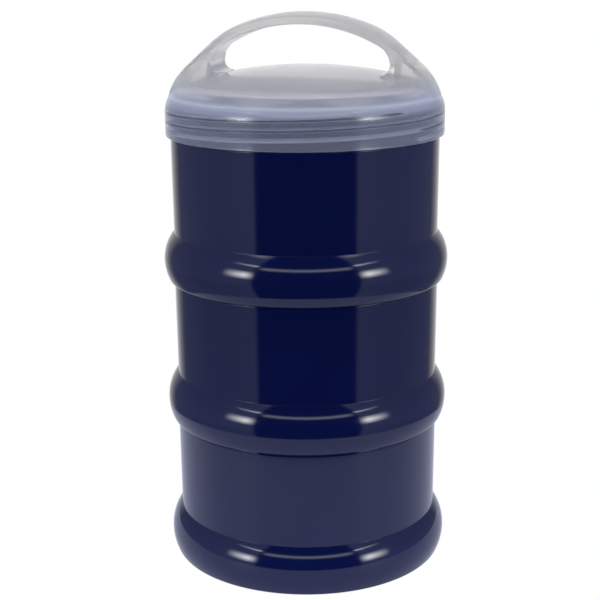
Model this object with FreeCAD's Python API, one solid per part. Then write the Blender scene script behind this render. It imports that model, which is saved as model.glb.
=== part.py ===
import FreeCAD, Part
import math
import os
from FreeCAD import Vector

# A stack of three powder cups that screw together, closed by a clear lid with a carrying handle.
# Millimetres. +Z is up, the stack stands on Z = 0 with its axis on Z, and the handle's bow lies along X.

# Cup wall
cup_pitch = 45.2  # rise from one cup's foot to the foot of the cup above
wall_foot_radius = 41.45  # outside of the wall where it leaves the ring
wall_flare = 0.25  # how much wider the wall is at its shoulder
floor_thickness = 1.8
chamber_fillet = 2.5

# Ring round the foot of each cup: the skirt that screws down over the neck below
ring_bulge = 3.3  # how far the ring stands out from the wall
ring_upper_radius = 12.8
ring_blend_radius = 0.8  # small hollow where the ring's crown meets the wall
ring_lower_radius = 14.0
ring_cover = 3.57  # the ring's crown ends this far above the socket's ceiling
foot_corner_radius = 1.2

# Neck on top of each cup
neck_ledge = 0.85  # width of the shoulder
neck_height = 10.5
neck_wall = 1.5
rim_radius = 0.5
seat_gap = 0.3  # a part that is screwed down stops this far above the shoulder

# Screw thread, the same on every joint
thread_starts = 2
thread_lead = 5.6  # rise in one turn
ridge_height = 0.8
ridge_base = 1.3
ridge_crest = 0.7
ridge_root = 0.3  # how deep a ridge is rooted in its wall
ridge_clearance = 0.3  # from a ridge's crest to the wall that faces it
ridge_lead_in = 9.0  # degrees over which a ridge rises to its full height
socket_ridge_angle = -32.0
socket_ridge_start = 1.2  # its height above the lower edge
socket_ridge_margin = 1.7  # from the last ridge to the socket's ceiling
neck_ridge_start = 3.4  # first ridge's height above the lower edge of the part screwed on
neck_ridge_margin = 1.0  # from the last ridge to the rim

# Sealing ring between a rim and the ceiling above it, and the rib that keeps it in place
seal_thickness = 1.0
seal_gap = 0.05  # above the rim, and again under the ceiling
seal_rim_inset = 0.25  # the ring stops this far inside the neck's outer face
seal_edge_radius = 0.25
seal_rib_gap = 0.1
rib_neck_clearance = 0.4
rib_wall = 0.9
rib_depth = 2.0

# Lid
lid_wall = 1.2
lid_edge_radius = 0.5
dome_spring_drop = 3.9  # the dome springs this far below the socket's ceiling
dome_rise = 13.4
dome_shoulder_radius = 8.5
dome_wall = 1.3

# Handle, moulded in one with the lid
handle_width = 20.0
bow_thickness = 3.4  # at the middle of the bow
bow_crown_radius = 54.0
bow_crown_turn = 22.0  # degrees from the middle of the bow to where its haunch begins
bow_haunch_radius = 30.0
leg_foot_radius = 19.0
leg_foot_inset = 0.4  # the legs spring this far inside the skirt's outer face
leg_foot_drop = 0.9  # and this far below the dome's springing line
leg_wall = 1.3
leg_hollow_rise = 3.6  # the legs are hollow to this height above the dome's top
finger_gap = 12.7  # from the dome's top to the underside of the bow
finger_gap_half_width = 27.5
finger_gap_crown_radius = 49.0
finger_gap_haunch_radius = 6.0
finger_gap_foot_radius = 3.0

# Radii and heights that follow, each height measured from the lower edge of its own part
wall_top_radius = wall_foot_radius + wall_flare
neck_radius = wall_top_radius - neck_ledge
chamber_radius = neck_radius - neck_wall
socket_radius = neck_radius + ridge_height + ridge_clearance
skirt_radius = socket_radius + lid_wall
shoulder_height = cup_pitch - seat_gap
rim_height = shoulder_height + neck_height
rim_reach = neck_height - seat_gap  # a rim stands this far inside the part above it
ceiling_height = rim_reach + seal_thickness + 2 * seal_gap
floor_height = ceiling_height + floor_thickness
rib_radius = chamber_radius - rib_neck_clearance
rib_bore = rib_radius - rib_wall
rib_foot = ceiling_height - rib_depth
spring_height = ceiling_height - dome_spring_drop
dome_top = spring_height + dome_rise
inner_rise = dome_rise - dome_wall
inner_shoulder = dome_shoulder_radius - lid_wall
outer_dome = (skirt_radius, dome_rise, dome_shoulder_radius)
inner_dome = (socket_radius, inner_rise, inner_shoulder)
bow_top = dome_top + finger_gap + bow_thickness
thread_pitch = thread_lead / thread_starts

axis = Vector(0, 0, 1)
origin = Vector(0, 0, 0)


def point(radius, height):
    return Vector(radius, 0, height)


def heading(turn):
    """Unit vector in the XZ plane, turned by so many radians from +X towards +Z."""
    return point(math.cos(turn), math.sin(turn))


def line(start, end):
    return Part.LineSegment(start, end).toShape()


def arc(centre, radius, first_angle, last_angle):
    """A circular arc in the XZ plane, its angles in degrees from +X towards +Z."""
    places = []
    for angle in (first_angle, (first_angle + last_angle) / 2, last_angle):
        places.append(centre + heading(math.radians(angle)) * radius)
    return Part.Arc(*places).toShape()


def dome_crown(half_span, rise, shoulder):
    """Radius of the flat crown that runs smoothly into a dome's shoulder."""
    return ((half_span - shoulder) ** 2 + rise**2 - shoulder**2) / (2 * (rise - shoulder))


def dome_height(half_span, rise, shoulder, radius):
    """Height of a dome's surface above its springing line."""
    crown = dome_crown(half_span, rise, shoulder)
    if radius > crown * (half_span - shoulder) / (crown - shoulder):
        return math.sqrt(shoulder**2 - (radius - half_span + shoulder) ** 2)
    return rise - crown + math.sqrt(crown**2 - radius**2)


def dome_edges(half_span, rise, shoulder, spring, outer_radius):
    """A dome's outline from one radius in to the axis: part of its shoulder and then its crown."""
    crown = dome_crown(half_span, rise, shoulder)
    crown_angle = math.degrees(math.acos((half_span - shoulder) / (crown - shoulder)))
    start_angle = math.degrees(math.acos((outer_radius - half_span + shoulder) / shoulder))
    return [
        arc(point(half_span - shoulder, spring), shoulder, start_angle, crown_angle),
        arc(point(0, spring + rise - crown), crown, crown_angle, 90),
    ]


def revolved(edges):
    """The solid that a closed half section makes about Z."""
    return Part.Face(Part.Wire(edges)).revolve(origin, axis, 360)


def ring_edges():
    """Outside of a cup's ring, from the foot up to the wall."""
    bulge_radius = wall_foot_radius + ring_bulge
    upper_step = ring_upper_radius + ring_blend_radius
    upper_turn = math.acos(1 - ring_bulge / upper_step)
    bulge_height = ceiling_height + ring_cover - ring_upper_radius * math.sin(upper_turn)
    upper_centre = point(bulge_radius - ring_upper_radius, bulge_height)
    blend_centre = upper_centre + heading(upper_turn) * upper_step
    lower_step = ring_lower_radius - foot_corner_radius
    lower_turn = math.asin((bulge_height - foot_corner_radius) / lower_step)
    lower_centre = point(bulge_radius - ring_lower_radius, bulge_height)
    foot_centre = lower_centre + heading(-lower_turn) * lower_step
    upper_angle = math.degrees(upper_turn)
    lower_angle = math.degrees(lower_turn)
    return [
        line(point(socket_radius, 0), point(foot_centre.x, 0)),
        arc(foot_centre, foot_corner_radius, -90, -lower_angle),
        arc(lower_centre, ring_lower_radius, -lower_angle, 0),
        arc(upper_centre, ring_upper_radius, 0, upper_angle),
        arc(blend_centre, ring_blend_radius, 180 + upper_angle, 180),
        line(point(wall_foot_radius, blend_centre.z), point(wall_top_radius, shoulder_height)),
    ]


def neck_edges():
    """Shoulder, neck, rounded rim and the inside of the chamber down to the middle of its floor."""
    rim_start = rim_height - rim_radius
    floor_edge = floor_height + chamber_fillet
    return [
        line(point(wall_top_radius, shoulder_height), point(neck_radius, shoulder_height)),
        line(point(neck_radius, shoulder_height), point(neck_radius, rim_start)),
        arc(point(neck_radius - rim_radius, rim_start), rim_radius, 0, 90),
        line(point(neck_radius - rim_radius, rim_height), point(chamber_radius + rim_radius, rim_height)),
        arc(point(chamber_radius + rim_radius, rim_start), rim_radius, 90, 180),
        line(point(chamber_radius, rim_start), point(chamber_radius, floor_edge)),
        arc(point(chamber_radius - chamber_fillet, floor_edge), chamber_fillet, 0, -90),
        line(point(chamber_radius - chamber_fillet, floor_height), point(0, floor_height)),
    ]


def rib_edges(inner_top, land_radius):
    """The rib that centres the sealing ring, from its bore's top out to the edge of the ceiling."""
    return [
        line(point(rib_bore, inner_top), point(rib_bore, rib_foot)),
        line(point(rib_bore, rib_foot), point(rib_radius, rib_foot)),
        line(point(rib_radius, rib_foot), point(rib_radius, ceiling_height)),
        line(point(rib_radius, ceiling_height), point(land_radius, ceiling_height)),
    ]


def lead_in_cutter(root, crest, start_angle, end_angle, height):
    """Pares a ridge away at its end, from nothing at start_angle to its full height at end_angle."""
    outward = 1 if crest > root else -1
    start_turn = math.radians(start_angle)
    end_turn = math.radians(end_angle)
    buried = root - outward * ridge_root / 4
    clear = crest + outward * ridge_height
    corners = []
    for radius, turn in ((buried, start_turn), (crest, end_turn), (clear, end_turn), (clear, start_turn)):
        corners.append(Vector(radius * math.cos(turn), radius * math.sin(turn), height - thread_pitch / 2))
    corners.append(corners[0])
    return Part.Face(Part.makePolygon(corners)).extrude(Vector(0, 0, thread_pitch))


def ridge(root, crest, start_angle, start_height, rise):
    """One helical ridge on a wall of radius root, swept in half turns and pared away at both ends."""
    deep = root + ridge_root * (1 if root > crest else -1)
    half_crest = ridge_crest / 2
    half_deep = ridge_base / 2 + (ridge_base / 2 - half_crest) * ridge_root / ridge_height
    section = Part.makePolygon(
        [
            point(deep, -half_deep),
            point(crest, -half_crest),
            point(crest, half_crest),
            point(deep, half_deep),
            point(deep, -half_deep),
        ]
    )
    pieces = math.ceil(2 * rise / thread_lead)
    step = rise / pieces
    helix = Part.Wire(Part.makeHelix(thread_lead, step, root).Edges)
    half_turn = helix.makePipeShell([section], True, True)
    turned = 360 * rise / thread_lead
    solids = []
    for piece in range(pieces):
        solid = half_turn.copy()
        solid.rotate(origin, axis, turned * piece / pieces)
        solid.translate(Vector(0, 0, step * piece))
        solids.append(solid)
    solids[0] = solids[0].cut(lead_in_cutter(root, crest, 0, ridge_lead_in, 0))
    solids[-1] = solids[-1].cut(lead_in_cutter(root, crest, turned, turned - ridge_lead_in, rise))
    whole = solids[0].fuse(solids[1:])
    whole.rotate(origin, axis, start_angle)
    whole.translate(Vector(0, 0, start_height))
    return whole


def ridges(root, crest, start_angle, start_height, rise):
    """The ridges of every start, spaced evenly about the axis."""
    spacing = 360 / thread_starts
    return [
        ridge(root, crest, start_angle + start * spacing, start_height, rise)
        for start in range(thread_starts)
    ]


def socket_ridges():
    """Inner thread of a skirt or ring, in heights above its lower edge."""
    rise = ceiling_height - socket_ridge_margin - socket_ridge_start
    crest = socket_radius - ridge_height
    return ridges(socket_radius, crest, socket_ridge_angle, socket_ridge_start, rise)


def neck_ridges():
    """Outer thread of a neck, midway between the ridges of the part above, in the cup's own heights."""
    rise = rim_reach - neck_ridge_margin - neck_ridge_start
    climb = neck_ridge_start - socket_ridge_start - thread_pitch / 2
    start_angle = socket_ridge_angle + 360 * climb / thread_lead
    crest = neck_radius + ridge_height
    return ridges(neck_radius, crest, start_angle, cup_pitch + neck_ridge_start, rise)


def make_cup():
    """A cup in one moulding: ring with its threaded socket, wall, floor and threaded neck."""
    underside = [
        line(point(0, floor_height), point(0, ceiling_height)),
        line(point(0, ceiling_height), point(rib_bore, ceiling_height)),
    ]
    rib = rib_edges(ceiling_height, socket_radius)
    socket_wall = [line(point(socket_radius, ceiling_height), point(socket_radius, 0))]
    body = revolved(ring_edges() + neck_edges() + underside + rib + socket_wall)
    return body.fuse(socket_ridges() + neck_ridges())


def make_seal():
    """A flat silicone ring with rounded edges, in heights above the rim that it rests on."""
    inner = rib_radius + seal_rib_gap
    outer = neck_radius - seal_rim_inset
    ring = revolved(
        [
            line(point(inner, seal_gap), point(outer, seal_gap)),
            line(point(outer, seal_gap), point(outer, seal_gap + seal_thickness)),
            line(point(outer, seal_gap + seal_thickness), point(inner, seal_gap + seal_thickness)),
            line(point(inner, seal_gap + seal_thickness), point(inner, seal_gap)),
        ]
    )
    round_edges = [edge for edge in ring.Edges if isinstance(edge.Curve, Part.Circle)]
    return ring.makeFillet(seal_edge_radius, round_edges)


def make_lid_shell():
    """Skirt and dome, with the ceiling and rib that hold the sealing ring."""
    rib_top = spring_height + dome_height(*inner_dome, rib_bore)
    shoulder_start = socket_radius - inner_shoulder
    land_radius = shoulder_start + math.sqrt(inner_shoulder**2 - dome_spring_drop**2)
    land_angle = math.degrees(math.asin(dome_spring_drop / inner_shoulder))
    edge_centre = point(skirt_radius - lid_edge_radius, lid_edge_radius)
    outside = [
        line(point(socket_radius, 0), point(edge_centre.x, 0)),
        arc(edge_centre, lid_edge_radius, -90, 0),
        line(point(skirt_radius, lid_edge_radius), point(skirt_radius, spring_height)),
    ]
    outside += dome_edges(skirt_radius, dome_rise, dome_shoulder_radius, spring_height, skirt_radius)
    outside.append(line(point(0, dome_top), point(0, spring_height + inner_rise)))
    inside = dome_edges(*inner_dome, spring_height, rib_bore)
    inside.reverse()
    socket = [
        arc(point(shoulder_start, spring_height), inner_shoulder, land_angle, 0),
        line(point(socket_radius, spring_height), point(socket_radius, 0)),
    ]
    return revolved(outside + inside + rib_edges(rib_top, land_radius) + socket)


def dome_space():
    """Everything under the dome's inner face."""
    floor = [
        line(point(0, spring_height + inner_rise), point(0, 0)),
        line(point(0, 0), point(socket_radius, 0)),
        line(point(socket_radius, 0), point(socket_radius, spring_height)),
    ]
    return revolved(dome_edges(*inner_dome, spring_height, socket_radius) + floor)


def slab(half_width, low, high, near):
    """A block along X from x = near outwards, half_width to each side of it."""
    reach = 2 * skirt_radius
    return Part.makeBox(reach - near, 2 * half_width, high - low, Vector(near, -half_width, low))


def bow_body(inset):
    """The rounded body that the handle is cut from, or the same drawn in by a wall."""
    crown_centre = point(0, bow_top - bow_crown_radius)
    crown_turn = math.radians(bow_crown_turn)
    reach = bow_crown_radius - bow_haunch_radius
    haunch_centre = crown_centre + heading(math.pi / 2 - crown_turn) * reach
    foot_height = spring_height - leg_foot_drop
    foot_centre = point(skirt_radius - leg_foot_inset - leg_foot_radius, foot_height)
    apart = foot_centre - haunch_centre
    lean = math.acos((bow_haunch_radius - leg_foot_radius) / apart.Length)
    leg_turn = math.atan2(apart.z, apart.x) + lean
    normal = heading(leg_turn)
    leg_angle = math.degrees(leg_turn)
    crown_angle = 90 - bow_crown_turn
    foot_point = foot_centre + normal * (leg_foot_radius - inset)
    haunch_point = haunch_centre + normal * (bow_haunch_radius - inset)
    foot_edge = point(foot_centre.x + leg_foot_radius - inset, foot_height)
    return revolved(
        [
            arc(foot_centre, leg_foot_radius - inset, 0, leg_angle),
            line(foot_point, haunch_point),
            arc(haunch_centre, bow_haunch_radius - inset, leg_angle, crown_angle),
            arc(crown_centre, bow_crown_radius - inset, crown_angle, 90),
            line(point(0, bow_top - inset), point(0, foot_height)),
            line(point(0, foot_height), foot_edge),
        ]
    )


def finger_gap_prism():
    """The gap under the bow, cut straight through along Y and rounded where the legs meet the dome."""
    crown = finger_gap_crown_radius
    crown_height = dome_top + finger_gap - crown
    haunch = min(finger_gap_haunch_radius, 0.65 * finger_gap)
    haunch_radius = finger_gap_half_width - haunch
    haunch_height = crown_height + math.sqrt((crown - haunch) ** 2 - haunch_radius**2)
    haunch_angle = math.degrees(math.atan2(haunch_height - crown_height, haunch_radius))
    side_foot = spring_height + dome_height(*outer_dome, finger_gap_half_width)
    foot = min(finger_gap_foot_radius, 0.7 * (haunch_height - side_foot))
    foot_radius = finger_gap_half_width - foot
    foot_height = spring_height + dome_height(*outer_dome, foot_radius)
    right = [
        line(point(0, spring_height), point(foot_radius, spring_height)),
        line(point(foot_radius, spring_height), point(foot_radius, foot_height)),
        arc(point(foot_radius, foot_height + foot), foot, -90, 0),
        line(point(finger_gap_half_width, foot_height + foot), point(finger_gap_half_width, haunch_height)),
        arc(point(haunch_radius, haunch_height), haunch, 0, haunch_angle),
        arc(point(0, crown_height), crown, haunch_angle, 90),
        line(point(0, crown_height + crown), point(0, spring_height)),
    ]
    half = Part.Face(Part.Wire(right))
    half.translate(Vector(0, -handle_width, 0))
    half = half.extrude(Vector(0, 2 * handle_width, 0))
    return half.fuse(half.mirror(origin, Vector(1, 0, 0)))


def leg_hollows():
    """The two cores that make the legs hollow, open to the inside of the dome."""
    low = spring_height + dome_height(*inner_dome, rib_bore)
    near = finger_gap_half_width + leg_wall
    block = slab(handle_width / 2 - leg_wall, low, dome_top + leg_hollow_rise, near)
    right = bow_body(leg_wall).common(block)
    return [right, right.mirror(origin, Vector(1, 0, 0))]


def make_lid():
    """Lid and handle in one moulding, in heights above the skirt's lower edge."""
    band = bow_body(0).common(slab(handle_width / 2, 0, 2 * bow_top, -2 * skirt_radius))
    band = band.cut([finger_gap_prism(), dome_space()])
    lid = make_lid_shell().fuse([band] + socket_ridges())
    return lid.cut(leg_hollows())


def export(name, shape, height):
    """Writes one part, lifted to its place in the stack."""
    placed = shape.copy()
    placed.translate(Vector(0, 0, height))
    solids = placed.Solids
    if len(solids) != 1 or not solids[0].isValid():
        raise ValueError(name + " is not one valid solid")
    solids[0].exportStep("parts/" + name + ".step")
    print(name, round(solids[0].Volume, 1))


os.makedirs("parts", exist_ok=True)
cup = make_cup()
seal = make_seal()
lid = make_lid()
for level, name in enumerate(("bottom_cup", "middle_cup", "top_cup")):
    export(name, cup, level * cup_pitch)
for level, name in enumerate(("lower_seal", "upper_seal", "lid_seal")):
    export(name, seal, level * cup_pitch + rim_height)
export("lid", lid, 3 * cup_pitch)
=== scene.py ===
import math

import bpy
from mathutils import Matrix, Vector


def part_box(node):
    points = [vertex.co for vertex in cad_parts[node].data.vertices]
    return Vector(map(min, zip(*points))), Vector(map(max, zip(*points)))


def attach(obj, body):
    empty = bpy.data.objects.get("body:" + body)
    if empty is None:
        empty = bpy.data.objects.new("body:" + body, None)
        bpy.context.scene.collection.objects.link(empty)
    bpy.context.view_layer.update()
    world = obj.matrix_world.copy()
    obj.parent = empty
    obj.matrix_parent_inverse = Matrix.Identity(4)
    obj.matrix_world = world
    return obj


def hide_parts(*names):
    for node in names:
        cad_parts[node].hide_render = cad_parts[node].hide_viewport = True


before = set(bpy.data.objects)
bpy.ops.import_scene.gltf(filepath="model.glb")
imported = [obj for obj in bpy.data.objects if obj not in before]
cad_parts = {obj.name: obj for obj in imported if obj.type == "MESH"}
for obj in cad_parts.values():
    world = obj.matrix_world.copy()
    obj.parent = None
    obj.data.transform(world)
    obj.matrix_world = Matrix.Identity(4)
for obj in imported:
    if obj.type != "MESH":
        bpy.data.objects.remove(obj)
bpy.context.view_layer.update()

# Cups. Three identical injection mouldings in opaque navy polypropylene. Each has a bulging ring round
# its foot, threaded inside to screw down over the neck of the cup below, and a plain wall that rises
# to a small shoulder and a neck with a two-start thread. The steel was polished, so they shine.
MM = 0.001
weld = 0.002 * MM
lead, thread_height, thread_turn, socket_start, socket_climb = 5.6, 0.8, -32, 1.2, 8.4
# The neck's thread is wound on by this height of helix, so that it runs between the socket's ridges.
neck_start, neck_climb, neck_lag = 48.6, 5.8, 47.6


def start_alone(piece=None):
    """Clears the selection, or leaves one piece selected and active."""
    bpy.ops.object.select_all(action="DESELECT")
    if piece:
        piece.select_set(True)
        bpy.context.view_layer.objects.active = piece


def close_up():
    """Merges what meets, points the faces outwards and goes back to object mode."""
    bpy.ops.mesh.select_all(action="SELECT")
    bpy.ops.mesh.remove_doubles(threshold=weld)
    bpy.ops.mesh.normals_make_consistent(inside=False)
    bpy.ops.object.mode_set(mode="OBJECT")
    mesh = bpy.context.object.data
    if sum(face.area * face.normal.dot(face.center) for face in mesh.polygons) < 0:
        mesh.flip_normals()


def bend(centre_radius, centre_height, radius, first_angle, last_angle, step=5.0):
    """Points of a rounded stretch of an outline in millimetres, its angles from outwards to up."""
    count = max(2, math.ceil(abs(last_angle - first_angle) / step))
    turns = [math.radians(first_angle + (last_angle - first_angle) * i / count) for i in range(count + 1)]
    return [(centre_radius + radius * math.cos(t), centre_height + radius * math.sin(t)) for t in turns]


def lathe(name, outline, steps=240):
    """Draws an outline edge by edge, spins it about Z and welds it into a closed body."""
    start_alone()
    bpy.ops.mesh.primitive_plane_add(size=MM)
    piece = bpy.context.object
    piece.name = piece.data.name = name
    bpy.ops.object.mode_set(mode="EDIT")
    bpy.ops.mesh.merge(type="CENTER")
    bpy.ops.transform.translate(value=Vector((outline[0][0], 0, outline[0][1])) * MM)
    for last, place in zip(outline, outline[1:]):
        step = Vector((place[0] - last[0], 0, place[1] - last[1])) * MM
        bpy.ops.mesh.extrude_vertices_move(TRANSFORM_OT_translate={"value": step})
    bpy.ops.mesh.select_all(action="SELECT")
    bpy.ops.mesh.spin(steps=steps, angle=2 * math.pi, center=(0, 0, 0), axis=(0, 0, 1))
    close_up()
    return piece


def combine(piece, tool, operation):
    """Adds the tool's body to the piece or cuts it away, and deletes the tool."""
    start_alone(piece)
    step = piece.modifiers.new("step", "BOOLEAN")
    step.operation = operation
    step.solver = "MANIFOLD"
    step.object = tool
    bpy.ops.object.modifier_apply(modifier="step")
    bpy.data.objects.remove(tool)


def second_copy(piece, name, move):
    """A copy of a piece with its own mesh, moved in its mesh."""
    copy = piece.copy()
    copy.data = piece.data.copy()
    copy.name = copy.data.name = name
    bpy.context.collection.objects.link(copy)
    copy.data.transform(move)
    return copy


def thread(name, wall, crest, first_angle, first_height, rise):
    """A two-start thread of rounded ridges, wound up a wall and pared away at both ends."""
    paring, outwards = 9.0, math.copysign(1, crest - wall)
    upper = [(crest, 0.19), (crest - 0.06 * outwards, 0.33), (crest - 0.2 * outwards, 0.43)]
    upper.append((wall - 0.3 * outwards, 0.76))
    section = [(radius, -height) for radius, height in reversed(upper)] + upper
    turned = 360 * rise / lead
    steps = math.ceil(turned / 3)
    start_alone()
    bpy.ops.mesh.primitive_circle_add(vertices=len(section), radius=MM)
    ridge = bpy.context.object
    ridge.name = ridge.data.name = name
    for vertex, (radius, height) in zip(ridge.data.vertices, section):
        vertex.co = Vector((radius, 0, height)) * MM
    screw = ridge.modifiers.new("thread", "SCREW")
    screw.angle = math.radians(turned)
    screw.screw_offset = rise * MM
    screw.steps = screw.render_steps = steps
    bpy.ops.object.modifier_apply(modifier="thread")
    for index, vertex in enumerate(ridge.data.vertices):
        along = turned * (index // len(section)) / steps
        share = min(1.0, along / paring, (turned - along) / paring)
        if index % len(section) not in (0, len(section) - 1):
            flat = vertex.co.xy.length
            vertex.co.xy *= 1 - outwards * (1 - share) * 0.9 * MM / flat
    bpy.ops.object.mode_set(mode="EDIT")
    bpy.ops.mesh.select_all(action="SELECT")
    bpy.ops.mesh.fill_holes(sides=len(section))
    close_up()
    other = second_copy(ridge, name + "_second", Matrix.Rotation(math.pi, 4, "Z"))
    start_alone(ridge)
    other.select_set(True)
    bpy.ops.object.join()
    turn = Matrix.Rotation(math.radians(first_angle), 4, "Z")
    ridge.data.transform(Matrix.Translation((0, 0, first_height * MM)) @ turn)
    return ridge


def smooth(piece):
    """Shades a piece smooth and keeps the edges that turn sharply."""
    start_alone(piece)
    bpy.ops.object.shade_smooth_by_angle(angle=math.radians(32))


wall_foot, wall_top, bulge, socket, neck, chamber = 41.45, 41.7, 44.75, 41.95, 40.85, 39.35
rib_bore, rib_face, rib_foot, ceiling, floor = 38.05, 38.95, 9.3, 11.3, 13.1
shoulder, rim = 44.9, 55.4
crown, hollow, under, foot_corner = 12.8, 0.8, 14.0, 1.2
upper_turn = math.degrees(math.acos(1 - (bulge - wall_foot) / (crown + hollow)))
bulge_height = ceiling + 3.57 - crown * math.sin(math.radians(upper_turn))
crease = 0.15
upper_turn = math.degrees(math.acos(1 - (bulge - wall_foot) / (crown + crease)))
ring_top = bulge_height + (crown + crease) * math.sin(math.radians(upper_turn))
lower_turn = math.degrees(math.asin((bulge_height - foot_corner) / (under - foot_corner)))
foot_radius = bulge - under + (under - foot_corner) * math.cos(math.radians(lower_turn))
cup = lathe(
    "bottom_tier",
    [(0, floor)]
    + bend(chamber - 2.5, floor + 2.5, 2.5, -90, 0, 9)
    + bend(chamber + 0.5, rim - 0.5, 0.5, 180, 90, 15)
    + bend(neck - 0.5, rim - 0.5, 0.5, 90, 0, 15)
    + bend(neck + 0.2, shoulder + 0.2, 0.2, 180, 270, 22.5)
    + bend(wall_top - 0.22, shoulder - 0.22, 0.22, 90, 0, 15)
    + [(wall_top - 0.005, shoulder - 0.8), (wall_foot + 0.002, ring_top + 0.2)]
    + bend(wall_foot + crease, ring_top, crease, 180, 180 + upper_turn, 10)
    + bend(bulge - crown, bulge_height, crown, upper_turn, 0, 1.3)[1:]
    + bend(bulge - under, bulge_height, under, 0, -lower_turn, 1.5)[1:]
    + bend(foot_radius, foot_corner, foot_corner, -lower_turn, -90, 8)[1:]
    + bend(socket + 0.2, 0.2, 0.2, 270, 180, 22.5)
    + [(socket, ceiling), (rib_face, ceiling), (rib_face, rib_foot), (rib_bore, rib_foot)]
    + [(rib_bore, ceiling), (0, ceiling)],
)
socket_sizes = (socket, socket - thread_height, thread_turn, socket_start, socket_climb)
combine(cup, thread("socket_thread", *socket_sizes), "UNION")
neck_turn = thread_turn + 360 * neck_lag / lead
combine(cup, thread("neck_thread", neck, neck + thread_height, neck_turn, neck_start, neck_climb), "UNION")
smooth(cup)


def linear(hex_colour):
    """An sRGB hex colour as the linear values that a shader takes."""
    parts = [int(hex_colour[i : i + 2], 16) / 255 for i in (1, 3, 5)]
    return [p / 12.92 if p <= 0.04045 else ((p + 0.055) / 1.055) ** 2.4 for p in parts] + [1.0]


def add_node(tree, kind, settings=None, links=None):
    """Adds a node, sets its options and its unlinked sockets, and links the rest."""
    node = tree.nodes.new(kind)
    for key, value in (settings or {}).items():
        if isinstance(key, str) and hasattr(node, key):
            setattr(node, key, value)
        else:
            node.inputs[key].default_value = value
    for key, source in (links or {}).items():
        tree.links.new(source, node.inputs[key])
    return node


def new_material(name, *pieces):
    """A material with an empty node tree, put on each piece in place of what it wore."""
    material = bpy.data.materials.new(name)
    material.use_nodes = True
    material.node_tree.nodes.clear()
    for piece in pieces:
        piece.data.materials.clear()
        piece.data.materials.append(material)
    return material.node_tree


# Polypropylene coloured navy in the mass, moulded against polished steel: a clear gloss over a deep
# even blue. The wall sank a few hundredths as it cooled, and the skin has a trace of haze.
tree = new_material("navy_polypropylene_polished_moulding", cup)
place = add_node(tree, "ShaderNodeTexCoord").outputs["Object"]
sink = add_node(tree, "ShaderNodeTexNoise", {"Scale": 45.0, "Detail": 1.0}, {"Vector": place})
haze = add_node(tree, "ShaderNodeTexNoise", {"Scale": 900.0, "Detail": 3.0}, {"Vector": place})
tone = add_node(tree, "ShaderNodeMix", {"data_type": "RGBA", 6: linear("#0B1341"), 7: linear("#0E1747")},
                {"Factor": sink.outputs["Fac"]})
gloss = add_node(tree, "ShaderNodeMapRange", {"To Min": 0.07, "To Max": 0.11}, {"Value": haze.outputs["Fac"]})
wave = add_node(tree, "ShaderNodeBump", {"Strength": 0.3, "Distance": 0.00005},
                {"Height": sink.outputs["Fac"]})
shell = add_node(tree, "ShaderNodeBsdfPrincipled", {"IOR": 1.49},
                 {"Base Color": tone.outputs[2], "Roughness": gloss.outputs["Result"],
                  "Normal": wave.outputs["Normal"]})
add_node(tree, "ShaderNodeOutputMaterial", links={"Surface": shell.outputs["BSDF"]})

tiers = {"bottom_cup": cup}
for node, name in (("middle_cup", "middle_tier"), ("top_cup", "top_tier")):
    tiers[node] = second_copy(cup, name, Matrix.Translation((0, 0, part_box(node)[0][2])))
for node, tier in tiers.items():
    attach(tier, node)
    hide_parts(node)

# Sealing rings. Flat rings of translucent silicone, pressed in a mould, one on each rim under the
# ceiling of the part above. They keep their solids' shape and get the rubber's satin skin.
seals = [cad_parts[node] for node in ("lower_seal", "upper_seal", "lid_seal")]
tree = new_material("translucent_silicone_pressed_ring", *seals)
place = add_node(tree, "ShaderNodeTexCoord").outputs["Object"]
bloom = add_node(tree, "ShaderNodeTexNoise", {"Scale": 400.0, "Detail": 3.0}, {"Vector": place})
tone = add_node(tree, "ShaderNodeMix", {"data_type": "RGBA", 6: linear("#D9DFE6"), 7: linear("#E9EDF1")},
                {"Factor": bloom.outputs["Fac"]})
skin = add_node(tree, "ShaderNodeMapRange", {"To Min": 0.38, "To Max": 0.52}, {"Value": bloom.outputs["Fac"]})
rubber = add_node(tree, "ShaderNodeBsdfPrincipled",
                  {"IOR": 1.41, "Transmission Weight": 0.35, "Subsurface Weight": 0.3,
                      "Subsurface Scale": 0.002},
                  {"Base Color": tone.outputs[2], "Roughness": skin.outputs["Result"]})
add_node(tree, "ShaderNodeOutputMaterial", links={"Surface": rubber.outputs["BSDF"]})

# Lid. One moulding in translucent natural polypropylene: a short threaded skirt, a shallow dome and
# an arched handle whose legs are cored out from inside. A rib under its edge holds the sealing ring.
skirt, spring, rise, shoulder_radius = 43.15, 7.4, 13.4, 8.5
inner_rise, inner_radius = 12.1, 7.3
dome_crown = ((skirt - shoulder_radius) ** 2 + rise**2 - shoulder_radius**2) / (2 * (rise - shoulder_radius))


def dome_line(half_span, rise, turn_radius, outer_radius):
    """A dome's outline from a radius in to the axis: part of its shoulder, then its flat crown."""
    crown = ((half_span - turn_radius) ** 2 + rise**2 - turn_radius**2) / (2 * (rise - turn_radius))
    meet = math.degrees(math.acos((half_span - turn_radius) / (crown - turn_radius)))
    start = math.degrees(math.acos((outer_radius - half_span + turn_radius) / turn_radius))
    shoulder_points = bend(half_span - turn_radius, spring, turn_radius, start, meet, 4)
    return shoulder_points + bend(0, spring + rise - crown, crown, meet, 90, 1.5)[1:]


def dome_at(radius):
    """How high the dome's crown is at a radius."""
    return spring + rise - dome_crown + math.sqrt(dome_crown**2 - radius**2)


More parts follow.
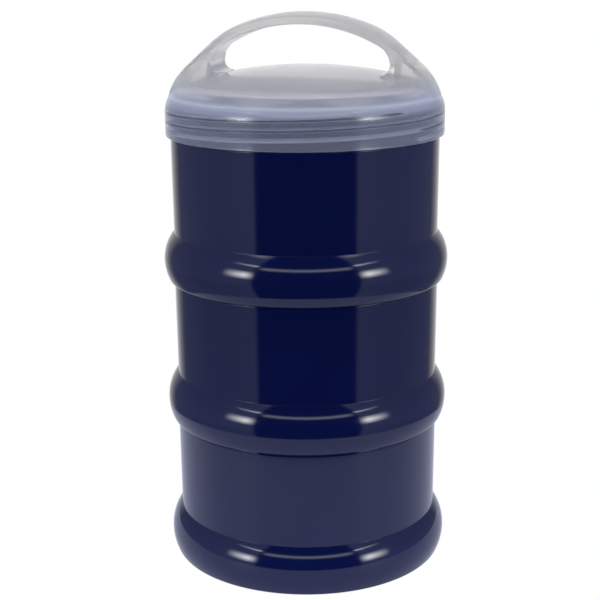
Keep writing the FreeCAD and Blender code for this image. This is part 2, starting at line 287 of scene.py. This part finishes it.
lid = lathe(
    "lid_and_handle",
    [(0, 0)] + bend(skirt - 0.5, 0.5, 0.5, -90, 0, 15) + dome_line(skirt, rise, shoulder_radius, skirt),
)
land_turn = math.degrees(math.asin((ceiling - spring) / inner_radius))
inside = lathe(
    "inside_of_lid",
    [(0, -1), (socket, -1)]
    + bend(socket - inner_radius, spring, inner_radius, 0, land_turn, 4)
    + [(rib_face, ceiling), (rib_face, rib_foot), (rib_bore, rib_foot)]
    + dome_line(socket, inner_rise, inner_radius, rib_bore),
)

# The handle's outline: a flat crown, a haunch and a foot outside, and the finger gap's crown, haunch
# and foot inside. It is drawn as pairs of places, one outside and one inside, from the middle down.
bow_top, bow, bow_turn, haunch, foot = 36.9, 54.0, 22.0, 30.0, 19.0
gap_top, gap, gap_half, gap_haunch, gap_foot = 33.5, 49.0, 27.5, 6.0, 3.0
bow_drop, gap_drop = bow_top - bow, gap_top - gap


def way(angle):
    """A step of 1 mm at an angle from outwards to up."""
    return Vector((math.cos(math.radians(angle)), math.sin(math.radians(angle))))


haunch_at = Vector((0, bow_drop)) + way(90 - bow_turn) * (bow - haunch)
foot_at = Vector((skirt - 0.4 - foot, spring - 0.9))
apart = foot_at - haunch_at
leg_turn = math.degrees(math.atan2(apart.y, apart.x) + math.acos((haunch - foot) / apart.length))
gap_haunch_x = gap_half - gap_haunch
gap_haunch_at = Vector((gap_haunch_x, gap_drop + math.sqrt((gap - gap_haunch) ** 2 - gap_haunch_x**2)))
gap_turn = math.degrees(math.atan2(gap_haunch_at.y - gap_drop, gap_haunch_x))
gap_foot_at = Vector((gap_half - gap_foot, dome_at(gap_half - gap_foot) + gap_foot))


def pairs_along(outer, inner, count):
    """Pairs of places along two arcs, each given by its centre, radius, first and last angle."""
    rows = []
    for i in range(count + 1):
        share = i / count
        arcs = (outer, inner)
        rows.append([c + way(first + (last - first) * share) * r for c, r, first, last in arcs])
    return rows


bow_arc = (Vector((0, bow_drop)), bow, 90, 90 - bow_turn)
gap_arc = (Vector((0, gap_drop)), gap, 90, gap_turn)
crown_rows = pairs_along(bow_arc, gap_arc, 20)
haunch_arc = (haunch_at, haunch, 90 - bow_turn, leg_turn)
gap_haunch_arc = (gap_haunch_at, gap_haunch, gap_turn, 0)
haunch_rows = pairs_along(haunch_arc, gap_haunch_arc, 12)
foot_rows = pairs_along((foot_at, foot, leg_turn, 0), (gap_foot_at, gap_foot, 0, -90), 16)
leg_rows = [[a.lerp(b, i / 8) for a, b in zip(haunch_rows[-1], foot_rows[0])] for i in range(1, 8)]
end_row = [foot_rows[-1][0] - Vector((0.6, 0.8)), foot_rows[-1][1] - Vector((0, 1.0))]
half = crown_rows + haunch_rows[1:] + leg_rows + foot_rows + [end_row]
sides = [(row, 1) for row in reversed(half[1:])] + [(row, -1) for row in half]

half_width, corner = 10.0, 0.55


def section(depth):
    """The handle's rounded section, as places across it and depths under its outer face."""
    flat = half_width - corner
    across = [flat * (1 - i / 8) for i in range(17)]
    quarter = [math.radians(22.5 * i) for i in range(5)]
    loop = [(-y, 0.0) for y in across]
    loop += [(flat + corner * math.sin(t), corner * (1 - math.cos(t))) for t in quarter[1:]]
    loop += [(half_width, corner + (depth - 2 * corner) * i / 4) for i in range(1, 4)]
    loop += [(flat + corner * math.cos(t), depth - corner * (1 - math.sin(t))) for t in quarter]
    loop += [(y, depth) for y in across[1:]]
    loop += [(-flat - corner * math.sin(t), depth - corner * (1 - math.cos(t))) for t in quarter[1:]]
    loop += [(-half_width, depth - corner - (depth - 2 * corner) * i / 4) for i in range(1, 4)]
    loop += [(-flat - corner * math.cos(t), corner * (1 - math.sin(t))) for t in quarter[:-1]]
    return loop


def on_handle(row, mirror, y, share):
    """A place on the handle: across it at y, a share of the way in from its domed outer face."""
    outer, inner = row
    keep = min(1.0, (outer.x / 20) ** 2)
    x = math.sqrt(outer.x**2 - keep * y**2)
    height = outer.y
    if keep < 1:
        height = bow_drop + math.sqrt(bow**2 - outer.x**2 - (1 - keep) * y**2)
    return Vector((mirror * (x + (inner.x - x) * share), y, height + (inner.y - height) * share)) * MM


# The handle starts as a flat grid, one column for each pair and one row for each place round its
# section. It is rolled up into the closed band, seamed where its long edges meet and capped.
around = len(section(bow_top - gap_top))
start_alone()
bpy.ops.mesh.primitive_grid_add(x_subdivisions=len(sides) - 1, y_subdivisions=around, size=2)
handle = bpy.context.object
handle.name = handle.data.name = "handle"
for vertex in handle.data.vertices:
    row, mirror = sides[round((vertex.co.x + 1) / 2 * (len(sides) - 1))]
    depth = (row[0] - row[1]).length
    y, level = section(depth)[round((vertex.co.y + 1) / 2 * around) % around]
    vertex.co = on_handle(row, mirror, y, level / depth)
bpy.ops.object.mode_set(mode="EDIT")
bpy.ops.mesh.select_all(action="SELECT")
bpy.ops.mesh.remove_doubles(threshold=weld)
bpy.ops.mesh.fill_holes(sides=0)
close_up()

# The cores that hollow the legs from inside follow the handle's outline, drawn in by the wall.
leg_wall = 1.3
core_low = spring + math.sqrt(inner_radius**2 - (rib_bore - socket + inner_radius) ** 2)
core_high = 24.4
core_line = bend(0, bow_drop, bow - leg_wall, 90, 90 - bow_turn, 2)
core_line += bend(haunch_at.x, haunch_at.y, haunch - leg_wall, 90 - bow_turn, leg_turn, 2)[1:]
core_line += bend(foot_at.x, foot_at.y, foot - leg_wall, leg_turn, 0, 3) + [(0, foot_at.y)]
cores = []
for side in (1, -1):
    core = lathe("leg_core", core_line)
    start_alone(core)
    bpy.ops.object.mode_set(mode="EDIT")
    for at, facing in (
        (((gap_half + leg_wall) * side, 0, 0), (-side, 0, 0)),
        ((0, half_width - leg_wall, 0), (0, 1, 0)),
        ((0, leg_wall - half_width, 0), (0, -1, 0)),
        ((0, 0, core_high), (0, 0, 1)),
        ((0, 0, core_low), (0, 0, -1)),
    ):
        bpy.ops.mesh.select_all(action="SELECT")
        bpy.ops.mesh.bisect(plane_co=Vector(at) * MM, plane_no=facing, use_fill=True, clear_outer=True)
    close_up()
    cores.append(core)

combine(lid, handle, "UNION")
combine(lid, inside, "DIFFERENCE")
for core in cores:
    combine(lid, core, "DIFFERENCE")
combine(lid, thread("lid_thread", *socket_sizes), "UNION")
smooth(lid)
lid_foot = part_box("lid")[0][2]
lid.data.transform(Matrix.Translation((0, 0, lid_foot)))

# Natural polypropylene with no pigment is clear in its gloss and milky in its body. The share of milk
# stands in for the depth of plastic that light crosses, so it is higher in the thread ridges, at the
# shoulder's corner and in the thick bow. Low down, over the dark cup, the milk's colour is painted
# bluer, a painted cast of the navy cup showing through the skirt. Its clouds are faint.
tree = new_material("natural_polypropylene_translucent_moulding", lid)
place = add_node(tree, "ShaderNodeTexCoord").outputs["Object"]
flow = add_node(tree, "ShaderNodeTexNoise", {"Scale": 90.0, "Detail": 3.0}, {"Vector": place})
cloud = add_node(tree, "ShaderNodeMapRange", {"To Min": 0.21, "To Max": 0.25}, {"Value": flow.outputs["Fac"]})
across = add_node(tree, "ShaderNodeVectorMath", {"operation": "MULTIPLY", 1: (1, 1, 0)}, {0: place})
radius = add_node(tree, "ShaderNodeVectorMath", {"operation": "LENGTH"}, {0: across.outputs[0]})
height = add_node(tree, "ShaderNodeSeparateXYZ", links={"Vector": place})
inner = add_node(tree, "ShaderNodeMapRange",
                 {"From Min": (socket - 0.3) * MM, "From Max": (socket - 0.05) * MM,
                  "To Min": 0.7, "To Max": 0.0}, {"Value": radius.outputs["Value"]})
low = add_node(tree, "ShaderNodeMapRange",
               {"From Min": lid_foot + ceiling * MM, "From Max": lid_foot + (ceiling + 0.4) * MM,
                "To Min": 1.0, "To Max": 0.0}, {"Value": height.outputs["Z"]})
thick = add_node(tree, "ShaderNodeMath", {"operation": "MULTIPLY_ADD"},
                 {0: inner.outputs["Result"], 1: low.outputs["Result"], 2: cloud.outputs["Result"]})
outer = add_node(tree, "ShaderNodeMapRange",
                 {"From Min": 35 * MM, "From Max": 39 * MM, "To Min": 0.0, "To Max": 0.2},
                 {"Value": radius.outputs["Value"]})
above = add_node(tree, "ShaderNodeMath", {"operation": "SUBTRACT", 0: 1.0}, {1: low.outputs["Result"]})
thick = add_node(tree, "ShaderNodeMath", {"operation": "MULTIPLY_ADD"},
                 {0: outer.outputs["Result"], 1: above.outputs[0], 2: thick.outputs[0]})
high = add_node(tree, "ShaderNodeMapRange",
                {"From Min": lid_foot + 22 * MM, "From Max": lid_foot + 28 * MM,
                 "To Min": 0.0, "To Max": 0.35}, {"Value": height.outputs["Z"]})
thick = add_node(tree, "ShaderNodeMath", {"operation": "ADD"},
                 {0: thick.outputs[0], 1: high.outputs["Result"]})
gloss = add_node(tree, "ShaderNodeMapRange", {"To Min": 0.12, "To Max": 0.17}, {"Value": flow.outputs["Fac"]})
wave = add_node(tree, "ShaderNodeBump", {"Strength": 0.3, "Distance": 0.00003},
                {"Height": flow.outputs["Fac"]})
clear = add_node(tree, "ShaderNodeBsdfPrincipled",
                 {"IOR": 1.49, "Transmission Weight": 1.0, "Base Color": linear("#FDFCFA")},
                 {"Roughness": gloss.outputs["Result"], "Normal": wave.outputs["Normal"]})
# Painted blue cast: the milk's colour runs from blue at the skirt, where the navy cup shows through, to
# neutral higher up.
fade = add_node(tree, "ShaderNodeMapRange",
                {"From Min": lid_foot + ceiling * MM, "From Max": lid_foot + 19 * MM},
                {"Value": height.outputs["Z"]})
navy_cast_tint = add_node(tree, "ShaderNodeMix", {"data_type": "RGBA", 6: linear("#DFE7FF"), 7: linear("#FAF7F4")},
                {0: fade.outputs["Result"]})
thrown_back = add_node(tree, "ShaderNodeBsdfDiffuse",
                       links={"Color": navy_cast_tint.outputs[2], "Normal": wave.outputs["Normal"]})
let_through = add_node(tree, "ShaderNodeBsdfTranslucent", {"Color": linear("#FFFCF4")})
milk = add_node(tree, "ShaderNodeMixShader", {0: 0.5},
                {1: thrown_back.outputs[0], 2: let_through.outputs[0]})
shell = add_node(tree, "ShaderNodeMixShader",
                 links={0: thick.outputs[0], 1: clear.outputs[0], 2: milk.outputs[0]})
# Light for what lies inside the lid passes straight through its thin wall.
ray = add_node(tree, "ShaderNodeLightPath")
lighting = add_node(tree, "ShaderNodeMath", {"operation": "MAXIMUM"},
                    {0: ray.outputs["Is Shadow Ray"], 1: ray.outputs["Is Diffuse Ray"]})
passed = add_node(tree, "ShaderNodeBsdfTransparent", {"Color": linear("#F0F1F6")})
lit = add_node(tree, "ShaderNodeMixShader",
               links={0: lighting.outputs[0], 1: shell.outputs[0], 2: passed.outputs[0]})
add_node(tree, "ShaderNodeOutputMaterial", links={"Surface": lit.outputs[0]})
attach(lid, "lid")
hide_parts("lid")

# Studio. A plain pale table top under plain soft light: cloth at both sides, a softbox at each side of
# the front with a strip above it, a strip over the front, boxes overhead and a white wall behind. Left
# and right are alike. The camera sees plain white past the table; the stack sees the whole studio.
facing = math.radians(11)
start_alone()
bpy.ops.mesh.primitive_circle_add(vertices=128, radius=0.15, fill_type="NGON", location=(0, 0, -0.0002))
table = bpy.context.object
table.name = "studio_table_top"
tree = new_material("white_acrylic_lit_from_below", table)
acrylic = add_node(tree, "ShaderNodeBsdfPrincipled",
                   {"Base Color": linear("#5A5A5A"), "Roughness": 0.6, "Emission Color": (0.85, 0.9, 1.15, 1),
                    "Emission Strength": 0.65})
seen = add_node(tree, "ShaderNodeLightPath").outputs["Is Camera Ray"]
plain = add_node(tree, "ShaderNodeEmission", {"Color": (1, 1, 1, 1)})
both = add_node(tree, "ShaderNodeMixShader", links={0: seen, 1: acrylic.outputs["BSDF"], 2: plain.outputs[0]})
add_node(tree, "ShaderNodeOutputMaterial", links={"Surface": both.outputs[0]})

world = bpy.data.worlds.new("studio")
bpy.context.scene.world = world
world.use_nodes = True
tree = world.node_tree
tree.nodes.clear()
place = add_node(tree, "ShaderNodeTexCoord").outputs["Generated"]
turned = add_node(tree, "ShaderNodeVectorRotate", {"rotation_type": "Z_AXIS", "Angle": -facing},
                  {"Vector": place})
split = add_node(tree, "ShaderNodeSeparateXYZ", links={"Vector": turned.outputs["Vector"]})
back = add_node(tree, "ShaderNodeMath", {"operation": "MULTIPLY", 1: -1.0}, {0: split.outputs["Y"]})
azimuth = add_node(tree, "ShaderNodeMath", {"operation": "ARCTAN2"},
                   {0: split.outputs["X"], 1: back.outputs[0]})
elevation = add_node(tree, "ShaderNodeMath", {"operation": "ARCSINE"}, {0: split.outputs["Z"]})


def levels(angle, half_turn, stops):
    """How bright the studio is along one angle: a ramp through pairs of degrees and brightness."""
    share = add_node(tree, "ShaderNodeMapRange", {"From Min": -half_turn, "From Max": half_turn},
                     {"Value": angle.outputs[0]})
    ramp = add_node(tree, "ShaderNodeValToRGB", links={"Fac": share.outputs["Result"]})
    places = ramp.color_ramp.elements
    for index, (degrees, grey) in enumerate(stops):
        stop = places[index] if index < 2 else places.new(1.0)
        stop.position = (math.radians(degrees) / half_turn + 1) / 2
        stop.color = (grey, grey, grey, 1)
    return ramp.outputs["Color"]


def light(total, colour, around, upwards):
    """Adds one part of the studio: its colour times its brightness round the stack and upwards."""
    part = add_node(tree, "ShaderNodeMath", {"operation": "MULTIPLY"},
                    {0: levels(azimuth, math.pi, around), 1: levels(elevation, math.pi / 2, upwards)})
    glow = add_node(tree, "ShaderNodeVectorMath", {"operation": "SCALE", 0: colour},
                    {"Scale": part.outputs[0]})
    if total is None:
        return glow.outputs[0]
    both = add_node(tree, "ShaderNodeVectorMath", {"operation": "ADD"}, {0: total, 1: glow.outputs[0]})
    return both.outputs[0]


def both_sides(stops):
    """The same light on the left and on the right: stops from the front round to the back."""
    return [(-degrees, grey) for degrees, grey in reversed(stops)] + stops


cloth = both_sides([(42, 0.0), (45, 0.5), (130, 0.2), (136, 0.0)])
behind = both_sides([(130, 0.0), (150, 0.5), (180, 1.0)])
softboxes = both_sides([(42, 0.0), (50, 1.0), (70, 0.0)])
strips = both_sides([(42, 0.0), (45, 1.0), (70, 0.0)])
front_strip = both_sides([(36, 1.0), (42, 0.0)])
boxes = both_sides([(45, 0.0), (60, 1.0), (130, 1.0), (150, 0.0)])
total = light(None, (1.0, 1.1, 1.5), cloth, [(-15, 0.0), (-12, 1.0)])
total = light(total, (0.8, 0.9, 1.2), cloth, [(-15, 1.0), (-12, 0.0)])
total = light(total, (1.2, 1.2, 1.2), behind, [(-90, 1.0), (90, 1.0)])
total = light(total, (18, 18, 18), softboxes, [(2, 0.0), (12, 1.0), (22, 0.0)])
total = light(total, (12, 12, 12), strips, [(34, 0.0), (36, 1.0), (38, 0.0)])
total = light(total, (3, 3, 3), front_strip, [(26, 0.0), (31, 1.0), (36, 0.0)])
total = light(total, (2.5, 2.5, 2.5), boxes, [(55, 0.0), (60, 1.0), (80, 1.0), (85, 0.0)])
seen = add_node(tree, "ShaderNodeLightPath").outputs["Is Camera Ray"]
room = add_node(tree, "ShaderNodeBackground", links={"Color": total})
plain = add_node(tree, "ShaderNodeBackground", {"Color": (1, 1, 1, 1)})
both = add_node(tree, "ShaderNodeMixShader", links={0: seen, 1: room.outputs[0], 2: plain.outputs[0]})
add_node(tree, "ShaderNodeOutputWorld", links={"Surface": both.outputs[0]})
bpy.context.scene.view_settings.view_transform = "Standard"

start_alone()
bpy.ops.object.camera_add()
camera = bpy.context.object
camera.name = "camera"
camera.data.lens = 80.17
camera.data.sensor_width = 36.0
camera.data.clip_start = 0.01
camera.matrix_world = (
    Matrix.Rotation(facing, 4, "Z")
    @ Matrix.Translation(Vector((-2.008, -414.86, 189.78)) * MM)
    @ Matrix.Rotation(math.radians(90 - 14.578), 4, "X")
    @ Matrix.Rotation(math.radians(-0.487), 4, "Z")
)
bpy.context.scene.camera = camera
